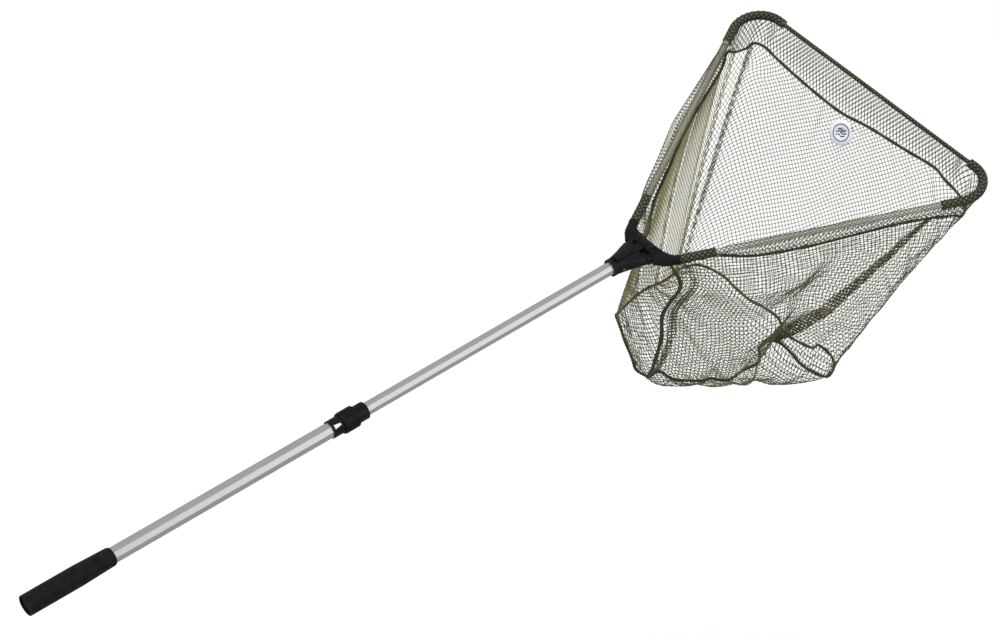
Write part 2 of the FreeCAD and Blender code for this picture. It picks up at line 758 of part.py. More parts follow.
def make_tip_guard(label, side):
    path, direction = corner_path(mm("tip_guard_start"), side, mm("tip_guard_end_y"))
    outer = round_pipe(path, direction, mm("guard_radius"))
    inner = round_pipe(path, direction, mm("guard_bore"))
    solid_feature(label, outer.cut(inner), head_frame())


def make_hem_front():
    end_y = mm("tip_guard_end_y") - mm("hem_gap")
    ends = [Vector(mm("front_x"), side * end_y, -mm("hoop_drop")) for side in (1, -1)]
    tube = sleeve(ends[0], ends[1], mm("band_radius"), mm("cord_radius"))
    solid_feature("hem_front", tube, head_frame())


# ---- net bag ----

def bag_corner(name):
    return Vector(mm(name + "_x"), mm(name + "_y"), mm(name + "_z"))


def rim_points():
    """Places on the hoop that the bag's panels hang from, by name."""
    points = {}
    for name, side in (("left", 1), ("right", -1)):
        root_x = mm("bag_root")
        tip_x = bend_start()
        points[name + "_root"] = on_hoop(root_x, side * arm_y(root_x))
        points[name + "_tip"] = on_hoop(tip_x, side * arm_y(tip_x))
        points[name + "_cord"] = on_hoop(mm("front_x"), side * mm("tip_end_y"))
    return points


def seam_point(rim, bottom, depth):
    """Point on the panel's edge from rim to bottom, at a depth below the rim."""
    return between(rim, bottom, depth / (rim.z - bottom.z))


def panel(label, corners):
    """Thin closed slab through three or four corners, pulled in from its seams."""
    centre = sum(corners, Vector()) * (1.0 / len(corners))
    inset = []
    for point in corners:
        towards = (centre - point).normalize()
        inset.append(point + towards * mm("edge_gap"))
    solid_feature(label, slab(inset, mm("net_thick")))


def slab(corners, thick):
    """Closed slab: each corner is doubled along the mean normal."""
    normal = mean_normal(corners) * (thick / 2)
    upper = [point + normal for point in corners]
    lower = [point - normal for point in corners]
    fan = [(0, i, i + 1) for i in range(1, len(corners) - 1)]
    faces = []
    for layer in (upper, lower):
        for a, b, c in fan:
            faces.append(Part.Face(Part.makePolygon([layer[a], layer[b], layer[c], layer[a]])))
    for i in range(len(corners)):
        j = (i + 1) % len(corners)
        ring = [upper[i], upper[j], lower[j], lower[i], upper[i]]
        faces.append(Part.Face(Part.makePolygon(ring)))
    return Part.makeSolid(Part.makeShell(faces))


def mean_normal(corners):
    total = Vector()
    for a, b in zip(corners, corners[1:] + corners[:1]):
        total += a.cross(b)
    return total.normalize()


def make_side_wall(side_name, rim, bottom_root, bottom_tip):
    root = rim[side_name + "_root"]
    tip = rim[side_name + "_tip"]
    hem_root = seam_point(root, bottom_root, mm("hem_drop"))
    hem_tip = seam_point(tip, bottom_tip, mm("hem_drop"))
    seam_root = seam_point(root, bottom_root, mm("side_seam"))
    seam_tip = seam_point(tip, bottom_tip, mm("side_seam"))
    panel("band_" + side_name, [hem_root, hem_tip, seam_tip, seam_root])
    panel("net_" + side_name, [seam_root, seam_tip, bottom_tip, bottom_root])
    return seam_root, seam_tip


def make_corner_gore(side_name, rim, bottom):
    """Net between a side panel and the front panel, below the elbow."""
    tip = seam_point(rim[side_name + "_tip"], bottom, mm("side_seam"))
    cord = seam_point(rim[side_name + "_cord"], bottom, mm("side_seam"))
    panel("net_corner_" + side_name, [tip, cord, bottom])


def make_front(rim, left_bottom, right_bottom):
    left = rim["left_cord"]
    right = rim["right_cord"]
    hem_left = seam_point(left, left_bottom, mm("hem_drop"))
    hem_right = seam_point(right, right_bottom, mm("hem_drop"))
    seam_left = seam_point(left, left_bottom, mm("front_seam"))
    seam_right = seam_point(right, right_bottom, mm("front_seam"))
    panel("band_front", [hem_left, hem_right, seam_right, seam_left])
    panel("net_front", [seam_left, seam_right, right_bottom, left_bottom])
    make_net_tag(seam_left, seam_right, left_bottom, right_bottom)
    return seam_left, seam_right


def make_net_tag(seam_left, seam_right, left_bottom, right_bottom):
    """Round badge on the inner face of the front panel."""
    top = between(seam_left, seam_right, mm("tag_across"))
    low = between(left_bottom, right_bottom, mm("tag_across"))
    centre = between(top, low, mm("tag_down"))
    normal = mean_normal([seam_left, seam_right, right_bottom, left_bottom])
    inward = normal if normal.x < 0 else normal * -1
    start = centre + inward * (mm("net_thick") / 2 + mm("tag_gap"))
    disc = Part.makeCylinder(mm("tag_radius"), mm("tag_thick"), start, inward)
    solid_feature("net_tag", disc)


def make_bag():
    rim = rim_points()
    left_front = bag_corner("left_front")
    right_front = bag_corner("right_front")
    right_back = bag_corner("right_back")
    left_back = bag_corner("left_back")
    sag = bag_corner("sag")
    left_seam = make_side_wall("left", rim, left_back, left_front)
    right_seam = make_side_wall("right", rim, right_back, right_front)
    make_corner_gore("left", rim, left_front)
    make_corner_gore("right", rim, right_front)
    front_seam = make_front(rim, left_front, right_front)
    back_left = seam_point(rim["left_root"], left_back, mm("back_drop"))
    back_right = seam_point(rim["right_root"], right_back, mm("back_drop"))
    panel("net_back", [back_left, back_right, right_back, left_back])
    make_bottom([left_front, right_front, right_back, left_back], sag)
    radius = mm("piping_radius")
    solid_feature("piping_left", rod(left_seam[0], left_seam[1], radius))
    solid_feature("piping_right", rod(right_seam[0], right_seam[1], radius))
    front_run = [left_seam[1], front_seam[0], front_seam[1], right_seam[1]]
    solid_feature("piping_front", rod_chain(trimmed(front_run), radius))
    bottom_run = [right_back, left_back, left_front, right_front, right_back]
    solid_feature("piping_bottom", rod_chain(trimmed(bottom_run), radius))
    closure = [between(back_left, back_right, mm("closure_across")), right_back]
    solid_feature("piping_back", rod_chain(trimmed(closure), radius))


def trimmed(points):
    """The same run with its two ends cut back, clear of the seams they meet."""
    gap = 2 * mm("piping_radius") + mm("seam_end_gap")
    first = points[0] + (points[1] - points[0]).normalize() * gap
    last = points[-1] + (points[-2] - points[-1]).normalize() * gap
    return [first] + points[1:-1] + [last]


def make_bottom(corners, sag):
    """Four-sided floor panel that sags to one low point."""
    centre = sum(corners, Vector()) * 0.25
    inset = [point + (centre - point).normalize() * mm("edge_gap") for point in corners]
    up = Vector(0, 0, mm("net_thick") / 2)
    faces = []
    for shift in (up, up * -1):
        for i in range(4):
            ring = [inset[i] + shift, inset[(i + 1) % 4] + shift, sag + shift, inset[i] + shift]
            faces.append(Part.Face(Part.makePolygon(ring)))
    for i in range(4):
        here = inset[i]
        there = inset[(i + 1) % 4]
        ring = [here + up, there + up, there - up, here - up, here + up]
        faces.append(Part.Face(Part.makePolygon(ring)))
    solid_feature("net_bottom", Part.makeSolid(Part.makeShell(faces)))


def build():
    fill_sheet()
    make_grip()
    make_butt_cap()
    make_lower_tube()
    make_lock_collet()
    make_lock_nut()
    make_clamp_ring()
    make_upper_tube()
    make_shaft_bush()
    make_head_socket()
    make_fold_latch()
    make_latch_spring()
    make_socket_rivet()
    make_hinge_pin()
    make_yoke()
    make_arm_rivets()
    make_rim_cord()
    make_hem_front()
    for name, side in (("left", 1), ("right", -1)):
        make_arm("arm_" + name, side)
        make_tip("tip_" + name, side)
        make_root_guard("root_guard_" + name, side)
        make_tip_guard("tip_guard_" + name, side)
        make_hem("hem_" + name, side)
    make_bag()
    doc.recompute()


def check():
    for thing in doc.Objects:
        if "Invalid" in thing.State or "Error" in thing.State:
            raise ValueError(f"{thing.Label}: {thing.State}")
    for part in parts:
        if part.Shape.isNull() or not part.Shape.isValid():
            raise ValueError(f"{part.Label}: shape is null or not valid")
        if part.Shape.Volume <= 0:
            raise ValueError(f"{part.Label}: volume {part.Shape.Volume}")


def export():
    os.makedirs("parts", exist_ok=True)
    for part in parts:
        part.Shape.exportStep(f"parts/{part.Label}.step")
        box_mm = part.Shape.BoundBox
        print(f"{part.Label:20s} solids {len(part.Shape.Solids)} volume {part.Shape.Volume:10.1f}"
              f" x {box_mm.XMin:8.1f}..{box_mm.XMax:8.1f}"
              f" z {box_mm.ZMin:7.1f}..{box_mm.ZMax:7.1f}")


build()
check()
export()
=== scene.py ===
import math

import bmesh
import bpy
import numpy as np
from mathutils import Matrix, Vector


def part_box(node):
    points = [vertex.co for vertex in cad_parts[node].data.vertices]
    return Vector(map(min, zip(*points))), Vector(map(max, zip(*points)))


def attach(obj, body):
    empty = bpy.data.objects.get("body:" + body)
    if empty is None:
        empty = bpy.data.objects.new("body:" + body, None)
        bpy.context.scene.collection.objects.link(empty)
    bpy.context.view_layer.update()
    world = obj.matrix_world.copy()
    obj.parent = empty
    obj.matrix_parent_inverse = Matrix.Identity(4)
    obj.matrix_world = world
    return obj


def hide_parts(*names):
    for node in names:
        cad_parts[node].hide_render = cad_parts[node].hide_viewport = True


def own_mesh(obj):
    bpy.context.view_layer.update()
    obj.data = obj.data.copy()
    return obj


# Looks of a folding landing net: a hanging bag of real netting on a triangular hoop, and a
# two-section handle. Metres, in the part's own frame: +X along the handle to the net, +Z up.
# The hoop is drawn in the hinge's frame: x forward in the hoop's plane, y to the left.

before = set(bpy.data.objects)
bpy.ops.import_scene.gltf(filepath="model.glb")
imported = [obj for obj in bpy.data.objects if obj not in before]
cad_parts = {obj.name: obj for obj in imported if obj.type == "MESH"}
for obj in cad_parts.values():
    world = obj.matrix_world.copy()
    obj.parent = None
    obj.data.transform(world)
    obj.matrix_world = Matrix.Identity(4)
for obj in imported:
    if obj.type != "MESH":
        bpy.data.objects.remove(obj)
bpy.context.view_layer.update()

MM = 0.001


def middle(node):
    low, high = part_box(node)
    return (low + high) / 2


# ---- the hoop's frame ----

HINGE = np.array(middle("hinge_pin"))
HOOP_TILT = math.radians(6.25)
HOOP_DROP = 11.5 * MM
ARM_ANGLE = math.radians(28.1)
HORN = (27 * MM, 56.8 * MM)
FRONT_X = 511 * MM
BEND_RADIUS = 46 * MM
ROOT_X = 36 * MM
BEND_X = FRONT_X - BEND_RADIUS * (1 + math.sin(ARM_ANGLE))


def arm_y(x):
    """Half spread of the hoop's arms at x."""
    return HORN[1] + (x - HORN[0]) * math.tan(ARM_ANGLE)


LEAVE_Y = arm_y(BEND_X) - BEND_RADIUS * math.cos(ARM_ANGLE)


def on_hoop(x, y, rise=0.0):
    """Row-frame point of a place given in the hinge's frame, above the hoop's plane."""
    z = rise - HOOP_DROP
    forward = x * math.cos(HOOP_TILT) - z * math.sin(HOOP_TILT)
    up = x * math.sin(HOOP_TILT) + z * math.cos(HOOP_TILT)
    return HINGE + np.array([forward, y, up])


def rim(t):
    """Axis of the hoop: 0..1 left arm, 1..2 corner, 2..3 front cord, 3..4 corner, 4..5 right arm."""
    if t > 2.5:
        point = rim(5 - t)
        return np.array([point[0], -point[1], point[2]])
    if t <= 1:
        x = ROOT_X + (BEND_X - ROOT_X) * t
        return on_hoop(x, arm_y(x))
    if t <= 2:
        turn = (t - 1) * (math.pi / 2 + ARM_ANGLE) - math.pi / 2 - ARM_ANGLE
        x = FRONT_X - BEND_RADIUS + BEND_RADIUS * math.cos(turn)
        return on_hoop(x, LEAVE_Y - BEND_RADIUS * math.sin(turn))
    return on_hoop(FRONT_X, LEAVE_Y * (1 - 2 * (t - 2)))


# ---- curves ----

def spline(points, count, tension=0.5):
    """Smooth curve through control points, evenly spaced by length."""
    p = np.asarray(points, float)
    p = np.vstack([2 * p[0] - p[1], p, 2 * p[-1] - p[-2]])
    pieces = []
    t = np.linspace(0, 1, 24, endpoint=False)[:, None]
    for a, b, c, d in zip(p, p[1:], p[2:], p[3:]):
        slope_b = (c - a) * tension
        slope_c = (d - b) * tension
        pieces.append((2 * t**3 - 3 * t**2 + 1) * b + (t**3 - 2 * t**2 + t) * slope_b
                      + (3 * t**2 - 2 * t**3) * c + (t**3 - t**2) * slope_c)
    pieces.append(p[-2:-1])
    return respaced(np.vstack(pieces), count)


def lengths(line):
    steps = np.linalg.norm(np.diff(line, axis=0), axis=1)
    return np.concatenate([[0.0], np.cumsum(steps)])


def respaced(line, count):
    along = lengths(line)
    at = np.linspace(0, along[-1], count)
    return np.stack([np.interp(at, along, line[:, k]) for k in range(line.shape[1])], axis=1)


def unit(v):
    return v / np.maximum(np.linalg.norm(v, axis=-1, keepdims=True), 1e-12)


# ---- meshes ----

def add_mesh(name, points, faces, material, smooth=True):
    data = bpy.data.meshes.new(name)
    data.from_pydata([tuple(p) for p in np.asarray(points)], [], [tuple(f) for f in faces])
    data.materials.append(material)
    data.polygons.foreach_set("use_smooth", [smooth] * len(data.polygons))
    data.update()
    thing = bpy.data.objects.new(name, data)
    bpy.context.scene.collection.objects.link(thing)
    return thing


def grid_faces(rows, columns, first=0, wrap=True):
    """Quads between rings of points. wrap joins the last column to the first."""
    r = np.arange(rows - 1)[:, None]
    c = np.arange(columns if wrap else columns - 1)[None, :]
    n = (c + 1) % columns
    quads = np.stack(np.broadcast_arrays(r * columns + c, r * columns + n,
                                         (r + 1) * columns + n, (r + 1) * columns + c), axis=-1)
    return (quads.reshape(-1, 4) + first).tolist()


def carried(line, start_normal):
    """Tangents and normals along a line, with the normal turned as little as possible."""
    tangent = unit(np.gradient(line, axis=0))
    normals = np.zeros_like(line)
    normal = np.asarray(start_normal, float)
    for i, t in enumerate(tangent):
        normal = unit(normal - t * (normal @ t))
        normals[i] = normal
    return tangent, normals


def tube_points(line, radii, sides, start_normal=(0, 0, 1), flat=1.0):
    """Rings of points round a line. flat squeezes them along the normal."""
    tangent, normal = carried(line, start_normal)
    across = np.cross(tangent, normal)
    angle = np.linspace(0, 2 * math.pi, sides, endpoint=False)[None, :, None]
    radii = np.broadcast_to(np.asarray(radii, float), (len(line),))[:, None, None]
    ring = np.cos(angle) * across[:, None, :] + flat * np.sin(angle) * normal[:, None, :]
    return line[:, None, :] + radii * ring


def add_tube(name, line, radii, sides, material, **more):
    rings = tube_points(line, radii, sides, **more)
    faces = grid_faces(len(line), sides)
    last = (len(line) - 1) * sides
    faces.append(list(range(sides))[::-1])
    faces.append([last + i for i in range(sides)])
    return add_mesh(name, rings.reshape(-1, 3), faces, material)


# ---- surfaces that netting lies on ----

NET_PITCH = 6.7 * MM
THREAD = 0.46 * MM
LAYER_GAP = 1.6 * MM


def coons(top, bottom, start, end):
    """Grid of points filling four boundary curves. start and end run from top to bottom."""
    nu, nv = len(top), len(start)
    u = np.linspace(0, 1, nu)[:, None, None]
    v = np.linspace(0, 1, nv)[None, :, None]
    ruled_v = (1 - v) * top[:, None, :] + v * bottom[:, None, :]
    ruled_u = (1 - u) * start[None, :, :] + u * end[None, :, :]
    corners = ((1 - u) * (1 - v) * top[0] + u * (1 - v) * top[-1]
               + (1 - u) * v * bottom[0] + u * v * bottom[-1])
    return ruled_v + ruled_u - corners


def cubic_weights(t, count):
    """First of four neighbouring rows, and their weights, for places t in 0..1."""
    place = np.clip(t, 0, 1) * (count - 1)
    first = np.clip(np.floor(place).astype(int), 0, count - 2)
    f = place - first
    weights = np.stack([
        -0.5 * f**3 + f**2 - 0.5 * f,
        1.5 * f**3 - 2.5 * f**2 + 1,
        -1.5 * f**3 + 2 * f**2 + 0.5 * f,
        0.5 * f**3 - 0.5 * f**2], axis=1)
    return first, weights


def padded_grid(grid):
    """The grid with one mirrored row more on every side."""
    grid = np.concatenate([2 * grid[:1] - grid[1:2], grid, 2 * grid[-1:] - grid[-2:-1]])
    return np.concatenate([2 * grid[:, :1] - grid[:, 1:2], grid,
                           2 * grid[:, -1:] - grid[:, -2:-1]], axis=1)


class Sheet:
    """Net surface: a grid of points, and the flat cloth that was sewn to that shape.

    Flat places are in metres, x along the top edge and y down. folds are pleats that run from
    the top edge to the bottom: (place at top, place at bottom, width at top, width at bottom),
    the places as shares of the width. Each pleat is three layers of net.
    """

    def __init__(self, grid, folds=()):
        self.grid = padded_grid(grid)
        self.shape = grid.shape[:2]
        rows = np.linalg.norm(np.diff(grid, axis=0), axis=2).sum(axis=0)
        columns = np.linalg.norm(np.diff(grid, axis=1), axis=2).sum(axis=1)
        self.rows = rows
        self.height = float(columns.mean())
        self.folds = folds
        spare = 2 * sum(max(f[2], f[3]) for f in folds)
        self.width = float(rows.max()) + spare

    def surface(self, u, v):
        fu, wu = cubic_weights(u, self.shape[0])
        fv, wv = cubic_weights(v, self.shape[1])
        total = np.zeros((len(u), 3))
        for i in range(4):
            for j in range(4):
                total += (wu[:, i] * wv[:, j])[:, None] * self.grid[fu + i, fv + j]
        return total

    def normal(self, u, v):
        e = 0.01
        du = self.surface(u + e, v) - self.surface(u - e, v)
        dv = self.surface(u, v + e) - self.surface(u, v - e)
        return unit(np.cross(du, dv))

    def unfolded(self, flat):
        """Surface places u, v of flat places, the lift off the surface, and what lies inside."""
        v = flat[:, 1] / self.height
        across = np.interp(v, np.linspace(0, 1, len(self.rows)), self.rows)
        spare = np.zeros(len(v))
        for _, _, top, bottom in self.folds:
            spare += 2 * (top + (bottom - top) * v)
        x = flat[:, 0] - (self.width - across - spare) / 2
        inside = (x >= 0) & (x <= across + spare) & (v >= 0) & (v <= 1)
        lift = np.zeros(len(v))
        for start, end, top, bottom in self.folds:
            w = np.maximum(top + (bottom - top) * np.clip(v, 0, 1), 0.1 * MM)
            edge = (start + (end - start) * v) * across
            r = (x - edge) / w
            lift += LAYER_GAP * np.interp(r, [0.9, 1.1, 1.9, 2.1, 3.0, 3.6], [0, 1, 1, 2, 2, 0])
            x = edge + w * np.where(r <= 1, r, np.abs(r - 2))
        return x / np.maximum(across, MM), v, lift, inside

    def place(self, flat, raised=0.0):
        u, v, lift, _ = self.unfolded(flat)
        normal = self.normal(u, v)
        return self.surface(u, v) + normal * (lift + raised)[:, None], normal


# ---- netting ----

def net_lines(width, height, angle, pitch=NET_PITCH):
    """Parallel flat threads at one angle. Every third point is half a mesh from the next."""
    direction = np.array([math.cos(angle), math.sin(angle)])
    across = np.array([-direction[1], direction[0]])
    reach = int(math.hypot(width, height) / pitch / 2) + 2
    along = np.arange(-reach * 6, reach * 6 + 1) * pitch / 6
    centre = np.array([width, height]) / 2
    for k in range(-reach, reach + 1):
        yield centre + across * k * pitch + along[:, None] * direction


def kept_runs(line, inside):
    """Stretches of a thread that lie on the cloth, thinned to every third point and the ends."""
    edges = np.flatnonzero(np.diff(np.concatenate([[False], inside, [False]]).astype(int)))
    for first, stop in zip(edges[::2], edges[1::2]):
        index = np.arange(first, stop)
        keep = (index % 3 == 0) | (index == first) | (index == stop - 1)
        if stop - first > 4:
            yield line[index[keep]], (index[keep] % 6 == 0)


def thread_tubes(points, normals, radii, starts, sides=4, flat=1.0):
    """Threads along many runs at once. starts marks the first point of each run."""
    following = np.roll(points, -1, axis=0)
    before = np.roll(points, 1, axis=0)
    last = np.roll(starts, -1)
    ahead = np.where(last[:, None], points, following)
    behind = np.where(starts[:, None], points, before)
    tangent = unit(ahead - behind)
    across = unit(np.cross(tangent, normals))
    normals = np.cross(across, tangent)
    angles = np.arange(sides) * 2 * math.pi / sides
    ring = np.stack([across * math.cos(a) + normals * flat * math.sin(a) for a in angles], axis=1)
    vertices = (points[:, None, :] + ring * radii[:, None, None]).reshape(-1, 3)
    segment = np.flatnonzero(~last)[:, None] * sides
    a = segment + np.arange(sides)
    b = segment + (np.arange(sides) + 1) % sides
    walls = np.stack([a, b, b + sides, a + sides], axis=-1).reshape(-1, 4)
    first_caps = np.flatnonzero(starts)[:, None] * sides + np.arange(sides)[::-1]
    last_caps = np.flatnonzero(last)[:, None] * sides + np.arange(sides)
    return vertices, walls.tolist() + first_caps.tolist() + last_caps.tolist()


def add_netting(name, sheet, diamond, material, thread=THREAD, pitch=NET_PITCH):
    """Two crossing families of threads over a sheet, a little thicker where they cross."""
    first_angle = math.pi / 4 if diamond else 0.0
    flats, bumps, sides, starts = [], [], [], []
    for family in (1, -1):
        angle = first_angle + (family < 0) * math.pi / 2
        for line in net_lines(sheet.width, sheet.height, angle, pitch):
            inside = sheet.unfolded(line)[3]
            for run, knots in kept_runs(line, inside):
                flats.append(run)
                bumps.append(knots)
                sides.append(np.full(len(run), family))
                starts.append(np.arange(len(run)) == 0)
    flat = np.concatenate(flats)
    side = np.concatenate(sides)
    points, normals = sheet.place(flat, side * thread * 0.35)
    radii = thread * np.where(np.concatenate(bumps), 1.45, 0.95)
    vertices, faces = thread_tubes(points, normals, radii, np.concatenate(starts))
    return add_mesh(name, vertices, faces, material)


# ---- cloth ----

CLOTH_STEP = 16 * MM
CLOTH_FRAMES = 24


def hung(name, grid, slack):
    """The grid after Blender's cloth has hung it from its own edges."""
    nu, nv = grid.shape[:2]
    data = bpy.data.meshes.new(name)
    data.from_pydata(grid.reshape(-1, 3).tolist(), [], grid_faces(nu, nv, wrap=False))
    cloth = bpy.data.objects.new(name, data)
    bpy.context.scene.collection.objects.link(cloth)
    index = np.arange(nu * nv).reshape(nu, nv)
    edge = np.concatenate([index[0], index[-1], index[:, 0], index[:, -1]])
    cloth.vertex_groups.new(name="sewn").add(np.unique(edge).tolist(), 1.0, "REPLACE")
    settings = cloth.modifiers.new("hang", "CLOTH").settings
    settings.quality = 6
    settings.mass = 0.06
    settings.air_damping = 3
    settings.tension_stiffness = 12
    settings.compression_stiffness = 6
    settings.shear_stiffness = 3
    settings.bending_stiffness = 0.04
    settings.vertex_group_mass = "sewn"
    settings.shrink_min = -slack
    scene = bpy.context.scene
    for step in range(1, CLOTH_FRAMES + 1):
        scene.frame_set(step)
    result = cloth.evaluated_get(bpy.context.evaluated_depsgraph_get()).data
    places = np.zeros(nu * nv * 3)
    result.vertices.foreach_get("co", places)
    bpy.data.objects.remove(cloth)
    bpy.data.meshes.remove(data)
    scene.frame_set(1)
    return places.reshape(nu, nv, 3)


# ---- seams of the bag ----
# Control points, listed: (place on the rim from 0 to 5, x, y, z) in millimetres.

LEFT_HEM = [(-0.035, 1184, 27, -10), (0.01, 1203, 38, -14), (0.09, 1232, 66, -22),
            (0.18, 1268, 97, -24), (0.31, 1322, 126, -9), (0.49, 1394, 169, 1),
            (0.68, 1470, 210, 0), (0.88, 1553, 254, -3), (0.94, 1576, 266, 14),
            (1.2, 1603, 272, -2), (1.45, 1630, 272, -8)]
FRONT_HEM = [(1.45, 1630, 272, -8), (1.65, 1638, 266, 3), (1.95, 1641, 241, 9),
             (2.08, 1639, 202, 5), (2.24, 1636, 123, 0), (2.41, 1635, 44, -1),
             (2.54, 1639, -19, 7), (2.72, 1643, -106, 13), (2.85, 1646, -169, 18),
             (2.91, 1643, -197, 13), (3.03, 1639, -239, 7), (3.6, 1622, -268, 6),
             (3.96, 1602, -278, 9)]
RIGHT_HEM = [(3.96, 1602, -278, 9), (4.04, 1588, -271, 16), (4.2, 1520, -235, 16),
             (4.38, 1446, -194, 2), (4.55, 1378, -158, -9), (4.735, 1303, -118, -14),
             (4.84, 1262, -97, -5), (4.9, 1238, -84, 2)]
UNDER_YOKE = [(1238, -84, 2), (1218, -50, -12), (1197, -12, -24)]
CLOSURE = [(1197, -12, -24), (1196, -30, -42), (1195, -48, -52), (1192, -55, -70),
           (1184, -39, -111), (1178, -30, -146), (1171, -38, -185), (1160, -33, -248),
           (1155, -27, -274)]
FRONT_FLOOR = [(1418, 191, -346), (1436, 160, -325), (1440, 106, -311), (1440, 70, -315),
               (1440, 32, -316), (1442, 2, -310), (1443, -37, -309), (1439, -52, -322),
               (1439, -81, -323), (1443, -122, -314), (1447, -132, -302), (1448, -161, -303),
               (1444, -177, -312)]
RIGHT_FLOOR = [(1444, -177, -312), (1435, -180, -322), (1424, -176, -329), (1396, -152, -306),
               (1383, -135, -281), (1368, -117, -257), (1351, -107, -252), (1336, -103, -260),
               (1329, -111, -283), (1302, -102, -293), (1275, -96, -304), (1248, -79, -296),
               (1235, -74, -297), (1193, -50, -286), (1174, -34, -268), (1155, -27, -274)]
BACK_FLOOR = [(1155, -27, -274), (1143, -11, -262), (1147, 4, -252), (1157, 36, -238),
              (1171, 76, -217)]
LEFT_FLOOR = [(1171, 76, -217), (1222, 98, -232), (1276, 119, -253), (1333, 144, -292),
              (1389, 172, -326), (1418, 191, -346)]

SEAM_STEP = 3 * MM


def seam(points):
    """Seam curve in metres."""
    line = np.array(points, float) * MM
    return spline(line, max(8, int(lengths(line)[-1] / SEAM_STEP)))


def hem_seam(points):
    """Seam curve and the places on the rim that hang over it."""
    rows = np.array(points, float)
    rows[:, 1:] *= MM
    rows[:, 0] *= MM
    curve = seam(rows[:, [1, 2, 3, 0]] / MM)
    return curve[:, :3], curve[:, 3] / MM


def straight(start, end, bow, count):
    """Line from start to end, bowed by a vector at its middle."""
    t = np.linspace(0, 1, count)[:, None]
    return start + (end - start) * t + np.asarray(bow) * MM * 4 * t * (1 - t)


def steps(line):
    """Number of cloth points along a line."""
    return max(6, int(round(lengths(line)[-1] / CLOTH_STEP)) + 1)


def wall(top, bottom, start, end, swell=(0, 0, 0)):
    """Grid filling four seams, swollen by a vector at its middle."""
    nu = steps(top if len(top) > len(bottom) else bottom)
    nv = steps(start)
    grid = coons(respaced(top, nu), respaced(bottom, nu), respaced(start, nv),
                 respaced(end, nv))
    u = np.linspace(0, 1, nu)[:, None, None]
    v = np.linspace(0, 1, nv)[None, :, None]
    return grid + 16 * u * (1 - u) * v * (1 - v) * np.asarray(swell) * MM


class HemSheet(Sheet):
    """Net that goes over the rim and down both sides to the hem seam."""

    def __init__(self, grid):
        super().__init__(grid)
        self.columns = np.linalg.norm(np.diff(grid, axis=1), axis=2).sum(axis=1)
        self.height = float(self.columns.max())
        self.width = float(self.rows.mean())

    def unfolded(self, flat):
        u = flat[:, 0] / self.width
        tall = np.interp(u, np.linspace(0, 1, len(self.columns)), self.columns)
        v = 0.5 + (flat[:, 1] - self.height / 2) / tall
        inside = (u >= 0) & (u <= 1) & (v >= 0) & (v <= 1)
        return u, v, np.zeros(len(u)), inside


HEM_RADIUS = 5.5 * MM
CORD_HEM_RADIUS = 2.8 * MM
LEFT_BULGE = 20 * MM
RIGHT_BULGE = 3 * MM
LEG_POINTS = 6
WRAP_POINTS = 9


def hem_grid(curve, places):
    """Rings of points from the seam, over the rim and back, at each place along the rim."""
    axis = np.array([rim(t) for t in places])
    tangent = unit(np.gradient(axis, axis=0))
    drop = curve - axis
    drop = drop - tangent * np.sum(drop * tangent, axis=1, keepdims=True)
    down = unit(drop)
    side = unit(np.cross(tangent, down))
    on_cord = np.interp(places, [1.9, 2.05, 2.95, 3.1], [0, 1, 1, 0])
    radius = (HEM_RADIUS + (CORD_HEM_RADIUS - HEM_RADIUS) * on_cord)[:, None]
    bulge = np.interp(places, [0, 0.12, 0.5, 0.85, 1, 4, 4.5, 5],
                      [0, 0.7, 1, 0.5, 0, 0, RIGHT_BULGE / LEFT_BULGE, 0])[:, None] * LEFT_BULGE
    columns = []
    for share in np.linspace(1, 0, LEG_POINTS, endpoint=False):
        clear = min(1.0, max(0.0, (share - 0.15) / 0.35))
        blown = side * bulge * 0.85 * clear * math.sin(math.pi * share)
        columns.append(curve * share + (axis - side * radius) * (1 - share) + blown)
    for angle in np.linspace(0, math.pi, WRAP_POINTS):
        columns.append(axis + radius * (-side * math.cos(angle) - down * math.sin(angle)))
    for share in np.linspace(0, 1, LEG_POINTS + 1)[1:]:
        blown = side * bulge * math.sin(math.pi * share)
        columns.append(curve * share + (axis + side * radius) * (1 - share) + blown)
    return np.stack(columns, axis=1)


# ---- materials ----

